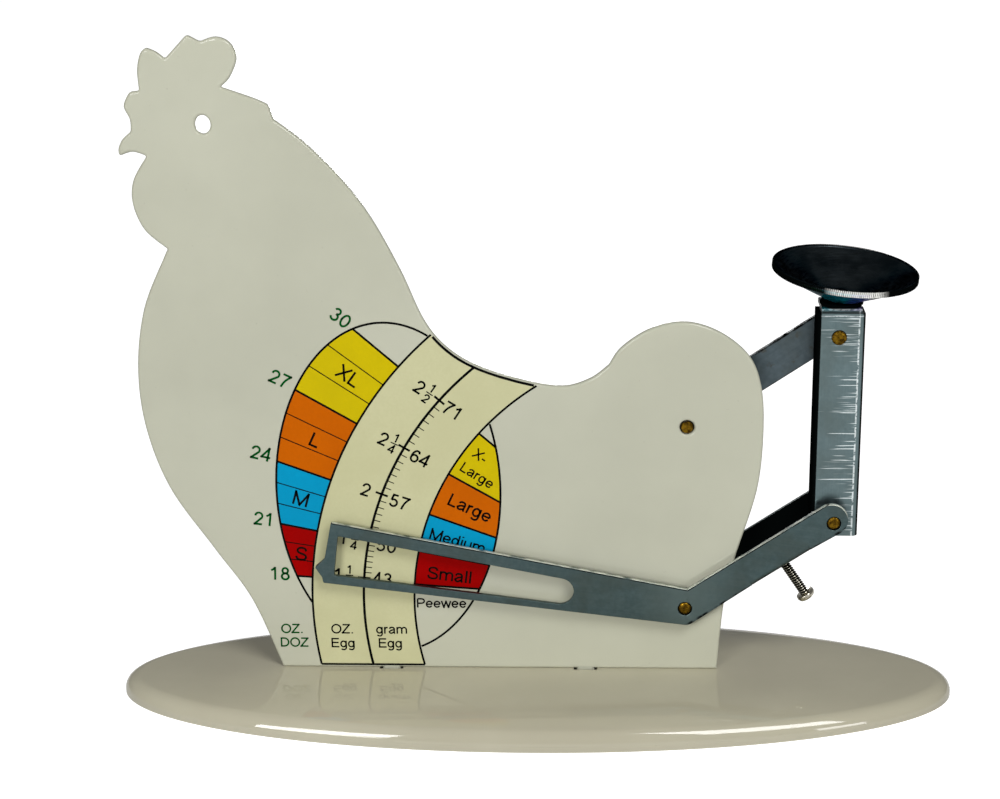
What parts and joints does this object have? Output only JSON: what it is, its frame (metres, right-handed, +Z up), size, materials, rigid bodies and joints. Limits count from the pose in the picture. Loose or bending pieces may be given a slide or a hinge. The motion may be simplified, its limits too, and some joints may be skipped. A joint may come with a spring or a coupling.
{
  "type": "egg scale",
  "caption": "Hen-shaped egg grading scale: flat plate on an oval foot, bent pointer lever over a printed dial, parallel linkage with an upright post and egg pan.",
  "frame": {"origin": "middle of the foot's underside, on the surface that it stands on", "axes": "+X along the foot towards the pan, +Y to the back of the plate, +Z up"},
  "size_m": [0.2224, 0.0754, 0.175],
  "materials": {
    "enamel": "gloss cream enamel",
    "zinc_steel": "zinc plated, satin, lightly scratched",
    "screw_steel": "plated, semi-bright",
    "brass": "satin",
    "blued_steel": "dark blue-green plating, semi-gloss",
    "cast_iron": "as cast, faces turned"
  },
  "bodies": {
    "root": {"base": "enamel", "body_plate": "enamel", "lower_pivot_pin": "brass", "upper_pivot_pin": "brass", "lever_front_spacer": "brass", "lever_rear_spacer": "zinc_steel", "link_plate_spacer": "zinc_steel", "link_plate_clip": "zinc_steel"},
    "lever": {"pointer_lever": "zinc_steel", "adjusting_screw": "screw_steel", "adjusting_nut": "screw_steel"},
    "link": {"upper_link": "zinc_steel", "counterweight": "cast_iron", "counterweight_rivet": "zinc_steel"},
    "post": {"post": "zinc_steel", "post_lower_pin": "brass", "post_upper_pin": "brass", "post_front_spacer": "zinc_steel", "post_rear_spacer": "zinc_steel", "link_post_spacer": "zinc_steel", "link_post_clip": "zinc_steel", "pan_washer": "blued_steel", "pan": "blued_steel", "pan_rivet": "zinc_steel"}
  },
  "joints": [
    {"name": "lever_hinge", "type": "hinge", "parent": "root", "child": "lever", "pos_m": [0.03959, 0, 0.0237], "axis": [0, 1, 0], "range_deg": [-10, 34.5]},
    {"name": "post_hinge", "type": "hinge", "parent": "lever", "child": "post", "pos_m": [0.07841, 0, 0.04814], "axis": [0, 1, 0], "range_deg": [-34.5, 10]},
    {"name": "link_hinge", "type": "hinge", "parent": "root", "child": "link", "pos_m": [0.03959, 0, 0.0734], "axis": [0, 1, 0], "range_deg": [-10, 34.5]}
  ],
  "couplings": [
    {"joint": "post_hinge", "follows": "lever_hinge", "ratio": -1},
    {"joint": "link_hinge", "follows": "lever_hinge", "ratio": 1}
  ]
}
